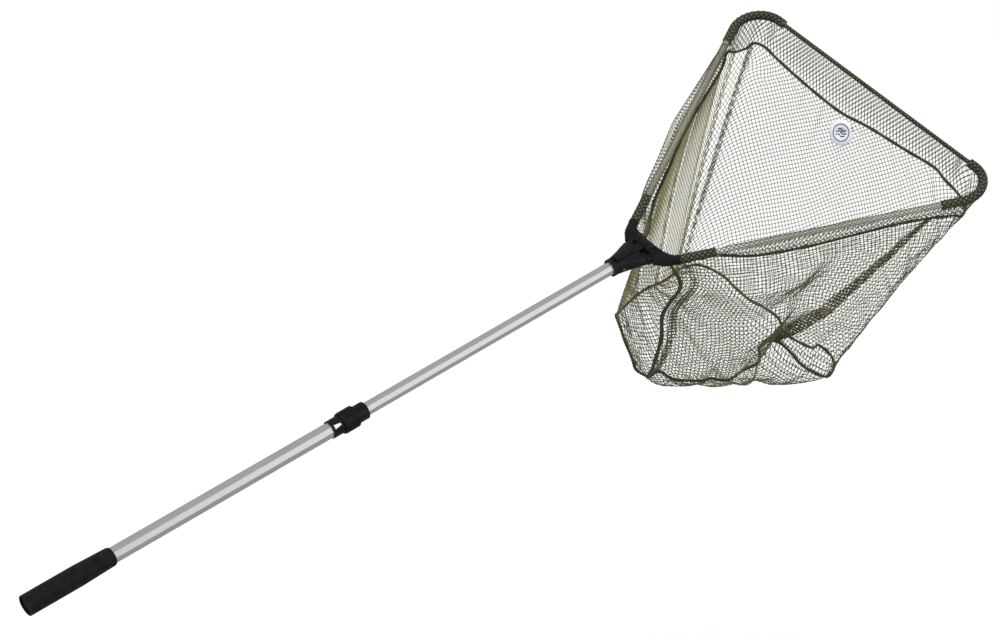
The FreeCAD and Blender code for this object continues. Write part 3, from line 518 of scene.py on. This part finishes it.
class Nodes:
    """A new material with a Principled shader and short ways to add nodes to it."""

    def __init__(self, name, rough, metal=0.0):
        self.material = bpy.data.materials.new(name)
        self.material.use_nodes = True
        self.tree = self.material.node_tree
        self.shader = self.tree.nodes["Principled BSDF"]
        self.shader.inputs["Roughness"].default_value = rough
        self.shader.inputs["Metallic"].default_value = metal
        self.place = self.add("ShaderNodeTexCoord").outputs["Object"]

    def add(self, kind, **values):
        node = self.tree.nodes.new(kind)
        for name, value in values.items():
            setattr(node, name, value)
        return node

    def link(self, source, target):
        self.tree.links.new(source, target)

    def stretched(self, scale):
        mapping = self.add("ShaderNodeMapping")
        mapping.inputs["Scale"].default_value = scale
        self.link(self.place, mapping.inputs["Vector"])
        return mapping.outputs["Vector"]

    def noise(self, scale, detail=4.0, rough=0.55, vector=None):
        node = self.add("ShaderNodeTexNoise")
        node.inputs["Scale"].default_value = scale
        node.inputs["Detail"].default_value = detail
        node.inputs["Roughness"].default_value = rough
        self.link(vector or self.place, node.inputs["Vector"])
        return node.outputs["Fac"]

    def wave(self, scale, vector=None, direction="X", distortion=0.0):
        node = self.add("ShaderNodeTexWave", bands_direction=direction)
        node.inputs["Scale"].default_value = scale
        node.inputs["Distortion"].default_value = distortion
        self.link(vector or self.place, node.inputs["Vector"])
        return node.outputs["Fac"]

    def ramp(self, value, stops):
        node = self.add("ShaderNodeValToRGB")
        elements = node.color_ramp.elements
        for index, (place, colour) in enumerate(stops):
            element = elements[index] if index < 2 else elements.new(place)
            element.position = place
            element.color = (*colour, 1.0)
        self.link(value, node.inputs["Fac"])
        return node.outputs["Color"]

    def colour(self, value, stops):
        self.link(self.ramp(value, stops), self.shader.inputs["Base Color"])

    def roughness(self, value, low, high):
        node = self.add("ShaderNodeMapRange")
        node.inputs["To Min"].default_value = low
        node.inputs["To Max"].default_value = high
        self.link(value, node.inputs["Value"])
        self.link(node.outputs["Result"], self.shader.inputs["Roughness"])

    def bump(self, value, height, strength=0.5):
        node = self.add("ShaderNodeBump")
        node.inputs["Distance"].default_value = height
        node.inputs["Strength"].default_value = strength
        self.link(value, node.inputs["Height"])
        self.link(node.outputs["Normal"], self.shader.inputs["Normal"])


def aluminium(name, metal):
    """Drawn, satin anodised tube: fine lines along the handle and faint cloudiness."""
    m = Nodes(name, 0.3, metal=metal)
    lines = m.noise(90, detail=6, vector=m.stretched((0.4, 14, 14)))
    m.colour(lines, [(0.3, (0.68, 0.685, 0.69)), (0.7, (0.84, 0.845, 0.85))])
    m.roughness(lines, 0.24, 0.38)
    m.bump(m.noise(160, detail=3, vector=m.stretched((0.3, 20, 20))), 0.02 * MM, 0.3)
    return m.material


def black_plastic():
    """Moulded black plastic with a fine eroded texture and slightly paler rubbed patches."""
    m = Nodes("black_plastic", 0.36)
    m.shader.inputs["Specular IOR Level"].default_value = 0.25
    m.colour(m.noise(55, detail=5), [(0.35, (0.004, 0.004, 0.005)), (0.75, (0.011, 0.011, 0.013))])
    m.roughness(m.noise(140), 0.3, 0.46)
    m.bump(m.noise(1800, detail=2), 0.05 * MM, 0.35)
    return m.material


def rubber():
    m = Nodes("grip_rubber", 0.55)
    m.shader.inputs["Specular IOR Level"].default_value = 0.22
    m.colour(m.noise(70, detail=5), [(0.3, (0.004, 0.004, 0.005)), (0.8, (0.013, 0.013, 0.015))])
    m.roughness(m.noise(120), 0.42, 0.62)
    m.bump(m.noise(1300, detail=3), 0.08 * MM, 0.5)
    return m.material


def steel():
    m = Nodes("spring_steel", 0.28, metal=1.0)
    m.colour(m.noise(300), [(0.3, (0.42, 0.43, 0.45)), (0.7, (0.6, 0.61, 0.63))])
    m.bump(m.noise(900), 0.02 * MM, 0.3)
    return m.material


def nylon():
    m = Nodes("white_nylon", 0.42)
    m.colour(m.noise(80), [(0.3, (0.72, 0.72, 0.69)), (0.7, (0.82, 0.82, 0.8))])
    m.bump(m.noise(900), 0.03 * MM, 0.3)
    return m.material


THREAD_ROUGHNESS = 0.62


def thread_material(name, dark, light, twist=1.0):
    """Twisted yarn: colour varies from thread to thread, with fine strands as bump."""
    m = Nodes(name, THREAD_ROUGHNESS)
    patches = m.noise(9, detail=2)
    m.colour(patches, [(0.3, dark), (0.7, light)])
    m.bump(m.wave(900, direction="DIAGONAL", distortion=2.0), 0.12 * MM * twist, 0.6)
    m.shader.inputs["Sheen Weight"].default_value = 0.15
    return m.material


def tag_material(name, dark, light):
    """Printed vinyl, glossy, with a slight mottle."""
    m = Nodes(name, 0.32)
    m.colour(m.noise(200), [(0.3, dark), (0.7, light)])
    m.bump(m.noise(500), 0.04 * MM, 0.3)
    return m.material


NET_COLOURS = ((0.10, 0.094, 0.034), (0.17, 0.16, 0.065))
SEAM_COLOURS = ((0.026, 0.027, 0.006), (0.058, 0.056, 0.014))
GUARD_COLOURS = ((0.005, 0.010, 0.005), (0.016, 0.024, 0.011))
SLEEVE_COLOURS = ((0.085, 0.092, 0.042), (0.15, 0.16, 0.08))
# Olive net colours painted lighter: painted light standing in for the light that the left wall's
# threads catch.
PAINTED_LIGHT_NET_COLOURS = ((0.26, 0.25, 0.11), (0.40, 0.38, 0.20))

MATERIALS = {
    "satin_aluminium": aluminium("satin_aluminium", 0.85),
    "arm_aluminium": aluminium("arm_aluminium", 0.3),
    "black_plastic": black_plastic(),
    "grip_rubber": rubber(),
    "spring_steel": steel(),
    "white_nylon": nylon(),
    "black_cord": thread_material("black_cord", (0.008, 0.009, 0.007), (0.02, 0.022, 0.016)),
    "olive_net": thread_material("olive_net", *NET_COLOURS),
    # Painted-light copy of the olive net: the same yarn, coloured lighter as if lit.
    "painted_light_net": thread_material("painted_light_net", *PAINTED_LIGHT_NET_COLOURS),
    "olive_piping": thread_material("olive_piping", *SEAM_COLOURS, twist=2.0),
    "guard_webbing": thread_material("guard_webbing", *GUARD_COLOURS),
    "sleeve_cloth": thread_material("sleeve_cloth", *SLEEVE_COLOURS),
    "white_tag": tag_material("white_tag", (0.80, 0.81, 0.88), (0.86, 0.87, 0.92)),
    "tag_print": tag_material("tag_print", (0.012, 0.016, 0.07), (0.02, 0.028, 0.11)),
}


# ---- carried-over CAD nodes ----

NODE_FINISH = {
    "grip": "grip_rubber", "butt_cap": "grip_rubber", "lower_tube": "satin_aluminium",
    "lock_collet": "black_plastic", "lock_nut": "black_plastic", "clamp_ring": "white_nylon",
    "upper_tube": "satin_aluminium", "shaft_bush": "white_nylon", "head_socket": "black_plastic",
    "fold_latch": "black_plastic", "latch_spring": "spring_steel",
    "socket_rivet": "spring_steel", "hinge_pin": "spring_steel", "yoke": "black_plastic",
    "arm_rivets": "spring_steel", "rim_cord": "black_cord", "arm_left": "arm_aluminium",
    "arm_right": "arm_aluminium", "tip_left": "black_plastic", "tip_right": "black_plastic",
}


def finish_nodes():
    for name, finish in NODE_FINISH.items():
        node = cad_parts[name]
        node.data.materials.clear()
        node.data.materials.append(MATERIALS[finish])


YOKE_VOXEL = 0.9 * MM
YOKE_SMOOTHING = 8
HORN_ROOT_X = HORN[0] - 21 * MM
HORN_TIP_X = HORN[0] - 0.2 * MM
HIP = (-7 * MM, 30 * MM)
ROOT_RADIUS = 7.3 * MM
HIP_RADIUS = 6.6 * MM
HORN_TIP_RADIUS = 8.2 * MM
HORN_RINGS = 12
HORN_SIDES = 24


def add_horn(shape, start, end, end_radius):
    """A tapering closed tube from a horn's root, added to a mesh."""
    line = respaced(np.array([start, end]), HORN_RINGS)
    radii = np.linspace(ROOT_RADIUS, end_radius, HORN_RINGS)
    rings = tube_points(line, radii, HORN_SIDES).reshape(-1, 3)
    made = [shape.verts.new(point) for point in rings]
    for face in grid_faces(HORN_RINGS, HORN_SIDES):
        shape.faces.new([made[i] for i in face])
    shape.faces.new(made[:HORN_SIDES][::-1])
    shape.faces.new(made[-HORN_SIDES:])


def make_yoke():
    """The wishbone as one moulding: the CAD shape with fuller horn roots, all edges flowing."""
    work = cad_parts["yoke"].data.copy()
    shape = bmesh.new()
    shape.from_mesh(work)
    for side in (1, -1):
        root = on_hoop(HORN_ROOT_X, side * arm_y(HORN_ROOT_X))
        add_horn(shape, root, on_hoop(HIP[0], side * HIP[1]), HIP_RADIUS)
        add_horn(shape, root, on_hoop(HORN_TIP_X, side * arm_y(HORN_TIP_X)), HORN_TIP_RADIUS)
    shape.to_mesh(work)
    shape.free()
    yoke = bpy.data.objects.new("yoke_body", work)
    bpy.context.scene.collection.objects.link(yoke)
    remesh = yoke.modifiers.new("one_moulding", "REMESH")
    remesh.mode = "VOXEL"
    remesh.voxel_size = YOKE_VOXEL
    remesh.use_smooth_shade = True
    smooth = yoke.modifiers.new("soft_edges", "SMOOTH")
    smooth.iterations = YOKE_SMOOTHING
    finished = yoke.evaluated_get(bpy.context.evaluated_depsgraph_get())
    final = bpy.data.meshes.new_from_object(finished)
    yoke.modifiers.clear()
    yoke.data = final
    final.materials.clear()
    final.materials.append(MATERIALS["black_plastic"])
    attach(yoke, "head")
    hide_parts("yoke")


# ---- net bag ----

# A sheet's declared area is this share of its rectangle and not the cut's own area, because the
# netting is made of threads alone.
HEM_PITCH = 5.8 * MM
THICK_THREAD = 0.55 * MM


def folds_away(piece):
    """Gives the piece its own copy of its mesh."""
    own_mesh(piece)


def net_piece(name, sheet, nodes, diamond, finish="olive_net", pitch=NET_PITCH,
              thread=THREAD):
    """Netting on a sheet, attached to the head, in place of the CAD nodes it hides."""
    piece = add_netting(name, sheet, diamond, MATERIALS[finish], thread, pitch)
    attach(piece, "head")
    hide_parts(*nodes)
    folds_away(piece)


WALL_SLACK = 0.02
PLEATED_SLACK = 0.006
FLOOR_SLACK = 0.015
# The floor's height from its front to its back, and how much of the drop is reached across it.
FLOOR_LOW = ([0, 0.25, 0.45, 0.6, 0.8, 1], [-0.374, -0.383, -0.370, -0.345, -0.320, -0.30])
FLOOR_ACROSS = ([0, 0.25, 0.6, 0.86, 0.95, 1], [0, 0.55, 0.95, 1, 0.8, 0])
EDGE_POINTS = 24


def floor_grid(front, right, back, left):
    """The bag's floor. It drops steeply from the right seam and runs up to the left one."""
    nu = steps(front)
    nv = steps(right)
    grid = coons(respaced(front, nu), respaced(back[::-1], nu),
                 respaced(left[::-1], nv), respaced(right, nv))
    u = np.linspace(0, 1, nu)[:, None]
    v = np.linspace(0, 1, nv)[None, :]
    across = np.interp(u, *FLOOR_ACROSS)
    share = across * (1 - np.abs(2 * v - 1) ** 8)
    grid[:, :, 2] += share * np.minimum(0.0, np.interp(v, *FLOOR_LOW) - grid[:, :, 2])
    return grid


def make_bag():
    left_hem, left_places = hem_seam(LEFT_HEM)
    front_hem, front_places = hem_seam(FRONT_HEM)
    right_hem, right_places = hem_seam(RIGHT_HEM)
    closure = seam(CLOSURE)
    under_yoke = seam(UNDER_YOKE)
    front_floor = seam(FRONT_FLOOR)
    right_floor = seam(RIGHT_FLOOR)
    back_floor = seam(BACK_FLOOR)
    left_floor = seam(LEFT_FLOOR)
    left_edge = straight(left_hem[-1], left_floor[-1], (-4, 0, 0), EDGE_POINTS)
    right_edge = straight(right_hem[0], right_floor[0], (-3, 3, 0), EDGE_POINTS)
    back_edge = straight(left_hem[0], left_floor[0], (-4, 0, 0), EDGE_POINTS)
    right_top = np.vstack([right_hem, under_yoke[1:]])[::-1]
    back_top = straight(closure[0], left_hem[0], (-4, 0, 2), 6)

    hem_curve = np.vstack([left_hem, front_hem[1:], right_hem[1:]])
    hem_places = np.concatenate([left_places, front_places[1:], right_places[1:]])
    hem_piping = piping("hem_piping", hem_curve, ["piping_left", "piping_front", "piping_right"])
    loop = np.vstack([front_floor, right_floor[1:], back_floor[1:], left_floor[1:]])
    floor_piping = piping("floor_piping", loop, ["piping_bottom"])
    closure_piping = piping("closure_piping", closure, ["piping_back"], CLOSURE_RADIUS)

    hem = HemSheet(hem_grid(hem_curve[::3], hem_places[::3]))
    net_piece("hem_net", hem, ["hem_left", "hem_right", "hem_front", "band_left",
                               "band_right", "band_front"], True,
              pitch=HEM_PITCH)

    left = Sheet(wall(left_hem, left_floor, back_edge, left_edge, (0, 8, 0)),
                 folds=[(0.30, 0.24, 15 * MM, 13 * MM), (0.60, 0.55, 10 * MM, 13 * MM),
                        (0.93, 0.93, 12 * MM, 12 * MM)])
    # The left wall's net has painted light: it uses the lighter copy of the olive net colour.
    net_piece("left_net", left, ["net_left", "net_corner_left"], True, finish="painted_light_net")

    front = Sheet(hung("front", wall(front_hem, front_floor, left_edge, right_edge, (8, 0, 0)),
                       WALL_SLACK), folds=[(0.0, 0.0, 16 * MM, 10 * MM)])
    net_piece("front_net", front, ["net_front", "net_corner_right"], True)
    make_badge(front)

    right = Sheet(hung("right", wall(right_top, right_floor[::-1], closure, right_edge,
                                     (0, -6, 0)), PLEATED_SLACK),
                  folds=[(0.04, 0.02, 14 * MM, 12 * MM), (0.88, 0.57, 15 * MM, 38 * MM),
                         (0.885, 0.577, 12 * MM, 33 * MM)])
    net_piece("right_net", right, ["net_right"], False, thread=THICK_THREAD)

    back = Sheet(hung("back", wall(back_top, back_floor, closure, back_edge, (-5, 0, 0)),
                      WALL_SLACK))
    net_piece("back_net", back, ["net_back"], True)

    floor = Sheet(hung("floor", floor_grid(front_floor, right_floor, back_floor, left_floor),
                       FLOOR_SLACK))
    net_piece("floor_net", floor, ["net_bottom"], False, thread=THICK_THREAD)


PIPING_RADIUS = 2.6 * MM
CLOSURE_RADIUS = 3.6 * MM


def piping(name, curve, nodes, thick=PIPING_RADIUS):
    """Gathered seam tape: a flattened tube with stitches that pinch it."""
    line = respaced(curve, int(lengths(curve)[-1] / (1.5 * MM)))
    t = lengths(line)
    radius = thick * (1 + 0.16 * np.sin(t / (0.9 * MM)) + 0.1 * np.sin(t / (7 * MM)))
    piece = add_tube(name, line, radius, 8, MATERIALS["olive_piping"], flat=0.8)
    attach(piece, "head")
    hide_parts(*nodes)
    folds_away(piece)
    return piece


# ---- sleeves and badge on the hoop ----

RIM_STEP = 2 * MM


def rim_run(first, last, step=RIM_STEP):
    """Evenly spaced points along the hoop between two places on it."""
    line = np.array([rim(t) for t in np.linspace(first, last, 200)])
    return respaced(line, int(lengths(line)[-1] / step))


def braid(name, line, radius, strand, strands, pitch, material):
    """Two families of flat strands wound round a line, one over the other."""
    tangent, normal = carried(line, (0, 0, 1))
    across = np.cross(tangent, normal)
    along = lengths(line)
    points, outs, starts = [], [], []
    for turn in (1, -1):
        for index in range(strands):
            angle = 2 * math.pi * (turn * along / pitch + index / strands)[:, None]
            out = np.cos(angle) * across + np.sin(angle) * normal
            points.append(line + out * (radius + turn * strand * 0.22))
            outs.append(out)
            starts.append(np.arange(len(line)) == 0)
    starts = np.concatenate(starts)
    vertices, faces = thread_tubes(np.concatenate(points), np.concatenate(outs),
                                   np.full(len(starts), strand), starts, sides=6, flat=0.5)
    return add_mesh(name, vertices, faces, material)


GUARD_RADIUS = 7.2 * MM
GUARD_STRAND = 1.35 * MM
GUARD_STRANDS = 5
GUARD_PITCH = 46 * MM
SLEEVE_RADIUS = 6.6 * MM
ROOT_SLEEVE_X = (27.2 * MM, 80 * MM)
TIP_SLEEVE_X = 412 * MM
TIP_SLEEVE_Y = 226 * MM
CORD_BRAID_RADIUS = 3.2 * MM
CORD_BRAID_STEP = 1 * MM
CORD_STRAND = 1.1 * MM
CORD_STRANDS = 3
CORD_BRAID_PITCH = 22 * MM


def guard(name, first, last, node):
    """Tight dark sleeve: a cloth tube under a coarse braid."""
    line = rim_run(first, last)
    base = add_tube(name + "_lining", line, SLEEVE_RADIUS, 20, MATERIALS["sleeve_cloth"])
    cover = braid(name, line, GUARD_RADIUS, GUARD_STRAND, GUARD_STRANDS, GUARD_PITCH,
                  MATERIALS["guard_webbing"])
    for piece in (base, cover):
        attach(piece, "head")
    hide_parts(node)


def make_guards():
    span = BEND_X - ROOT_X
    root_start, root_end = ((x - ROOT_X) / span for x in ROOT_SLEEVE_X)
    tip_start = (TIP_SLEEVE_X - ROOT_X) / span
    cord_share = (LEAVE_Y - TIP_SLEEVE_Y) / (2 * LEAVE_Y)
    guard("root_sleeve_left", root_start, root_end, "root_guard_left")
    guard("root_sleeve_right", 5.0 - root_start, 5.0 - root_end, "root_guard_right")
    guard("tip_sleeve_left", tip_start, 2 + cord_share, "tip_guard_left")
    guard("tip_sleeve_right", 5.0 - tip_start, 3 - cord_share, "tip_guard_right")
    cord = rim_run(2 + cord_share, 3 - cord_share, CORD_BRAID_STEP)
    cover = braid("cord_braid", cord, CORD_BRAID_RADIUS, CORD_STRAND, CORD_STRANDS,
                  CORD_BRAID_PITCH, MATERIALS["black_cord"])
    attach(cover, "head")


# ---- badge ----

BADGE_PLACE = (0.445, 0.085)
BADGE_RADIUS = 22 * MM
BADGE_GAP = 9 * MM
RING_RADIUS = 14.5 * MM
WAVES = ((5, 8), (0, 10), (-5, 8))
BADGE_LEAN = (-0.22, -0.42, 0.42)


def turned(name, centre, axis, profile, sides, material):
    """Closed form turned round an axis. profile is a loop of (radius, height)."""
    side = unit(np.cross(axis, (0.0, 0.3, 1.0)))
    other = np.cross(axis, side)
    angle = np.linspace(0, 2 * math.pi, sides, endpoint=False)[:, None]
    spoke = np.cos(angle) * side + np.sin(angle) * other
    rings = [centre + spoke * radius + axis * height for radius, height in profile]
    points = np.concatenate(rings + rings[:1])
    return add_mesh(name, points, grid_faces(len(rings) + 1, sides), material)


def make_badge(sheet):
    """White disc on the front panel's inner face, printed with a ring and three waves."""
    u, v = (np.array([place]) for place in BADGE_PLACE)
    axis = sheet.normal(u, v)[0]
    axis = unit((axis if axis[0] < 0 else -axis) + np.array(BADGE_LEAN))
    centre = sheet.surface(u, v)[0] + axis * BADGE_GAP
    edge = 0.4 * MM
    disc = [(0.01 * MM, 0), (BADGE_RADIUS - edge, 0), (BADGE_RADIUS, edge),
            (BADGE_RADIUS - edge, 2 * edge), (0.01 * MM, 2.4 * edge)]
    badge = turned("badge", centre, axis, disc, 72, MATERIALS["white_tag"])
    face = 2 * edge
    ring = [(RING_RADIUS - 0.9 * MM, face), (RING_RADIUS - 0.6 * MM, face + 0.4 * MM),
            (RING_RADIUS + 0.6 * MM, face + 0.4 * MM), (RING_RADIUS + 0.9 * MM, face)]
    pieces = [badge, turned("badge_ring", centre, axis, ring, 72, MATERIALS["tag_print"])]
    across = unit(np.cross(axis, (0.0, 0.0, 1.0)))
    up = np.cross(across, axis)
    along = np.linspace(-1, 1, 33)[:, None]
    for index, (height, half) in enumerate(WAVES):
        wave = (centre + across * along * half * MM + axis * (face + 0.3 * MM)
                + up * (height + 1.3 * np.sin(along * math.pi * 1.5)) * MM)
        pieces.append(add_tube("badge_wave_" + str(index + 1), wave, 0.9 * MM, 8,
                               MATERIALS["tag_print"], start_normal=axis, flat=0.4))
    for piece in pieces:
        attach(piece, "head")
        folds_away(piece)
    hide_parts("net_tag")


# ---- arrow on the lock's collar ----

MARK_X = (521.5, 533.5)
MARK_HALF_WIDTHS = (3.4 * MM, 1.6 * MM)
MARK_DIRECTION = (-0.615, 0.788)
MARK_LIFTS = (-0.4 * MM, 0.35 * MM)
MARK_POINTS = 9


def make_lock_mark():
    """White tapering tab let into the collar, on its upper right side."""
    low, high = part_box("lock_collet")
    radius = (high[1] - low[1]) / 2
    middle_angle = math.atan2(MARK_DIRECTION[1], MARK_DIRECTION[0])
    x = np.linspace(*MARK_X, MARK_POINTS) * MM
    half = np.interp(x, [x[0], x[-1]], MARK_HALF_WIDTHS) / radius
    share = np.linspace(-1, 1, MARK_POINTS)
    angle = middle_angle + half[:, None] * share[None, :]
    layers = []
    for lift in MARK_LIFTS:
        layers.append(np.stack([np.broadcast_to(x[:, None], angle.shape),
                                (radius + lift) * np.cos(angle),
                                (radius + lift) * np.sin(angle)], axis=-1))
    count = angle.size
    inner, outer = (np.arange(count).reshape(angle.shape) + k * count for k in (0, 1))
    faces = grid_faces(*angle.shape, first=0, wrap=False) + [
        face[::-1] for face in grid_faces(*angle.shape, first=count, wrap=False)]
    border = [(0, slice(None)), (-1, slice(None)), (slice(None), 0), (slice(None), -1)]
    for row in border:
        a, b = inner[row], outer[row]
        faces += np.stack([a[:-1], b[:-1], b[1:], a[1:]], axis=1).tolist()
    tab = add_mesh("lock_mark", np.concatenate([layer.reshape(-1, 3) for layer in layers]),
                   faces, MATERIALS["white_nylon"], smooth=False)
    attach(tab, "handle")


# ---- stage ----

FLOOR_SIZE = 60
FLOOR_Z = -1.6
SKY_STRENGTH = 0.3


def make_stage():
    bpy.ops.mesh.primitive_plane_add(size=FLOOR_SIZE, location=(0, 0, FLOOR_Z))
    ground = bpy.context.object
    ground.name = "floor"
    m = Nodes("pale_floor", 0.9)
    m.colour(m.noise(0.4), [(0.2, (0.93, 0.93, 0.93)), (0.8, (0.95, 0.95, 0.95))])
    ground.data.materials.append(m.material)
    ground.visible_glossy = False
    world = bpy.data.worlds.new("studio")
    world.use_nodes = True
    world.node_tree.nodes["Background"].inputs["Color"].default_value = (1, 1, 1, 1)
    world.node_tree.nodes["Background"].inputs["Strength"].default_value = SKY_STRENGTH
    bpy.context.scene.world = world
    bpy.context.scene.view_settings.view_transform = "Standard"


def area_light(name, place, target, size, power, shines=True):
    """shines=False leaves the light out of reflections."""
    data = bpy.data.lights.new(name, "AREA")
    data.size = size
    data.energy = power
    lamp = bpy.data.objects.new(name, data)
    lamp.location = place
    lamp.visible_glossy = shines
    aim = Vector(target) - Vector(place)
    lamp.rotation_euler = aim.to_track_quat("-Z", "Y").to_euler()
    bpy.context.scene.collection.objects.link(lamp)


def make_lights():
    area_light("key", (0.8, 0.0, 10.0), (0.8, 0, 0), 8.0, 1300, shines=False)
    area_light("side", (2.8, -3.2, 2.6), (0.6, 0, 0), 3.0, 20)


CAMERA_PLACE = (-1.76664, -3.21507, 4.15299)
CAMERA_TURN = math.radians(-39.2253)
CAMERA_HEIGHT = math.radians(44.8193)
CAMERA_LENS = 133.21


def make_camera():
    data = bpy.data.cameras.new("camera")
    data.lens = CAMERA_LENS
    data.sensor_width = 36.0
    data.clip_start = 0.05
    data.clip_end = 100.0
    camera = bpy.data.objects.new("camera", data)
    camera.location = CAMERA_PLACE
    camera.rotation_euler = (math.pi / 2 - CAMERA_HEIGHT, 0.0, CAMERA_TURN)
    bpy.context.scene.collection.objects.link(camera)
    bpy.context.scene.camera = camera


finish_nodes()
make_yoke()
make_bag()
make_guards()
make_lock_mark()
make_stage()
make_lights()
make_camera()
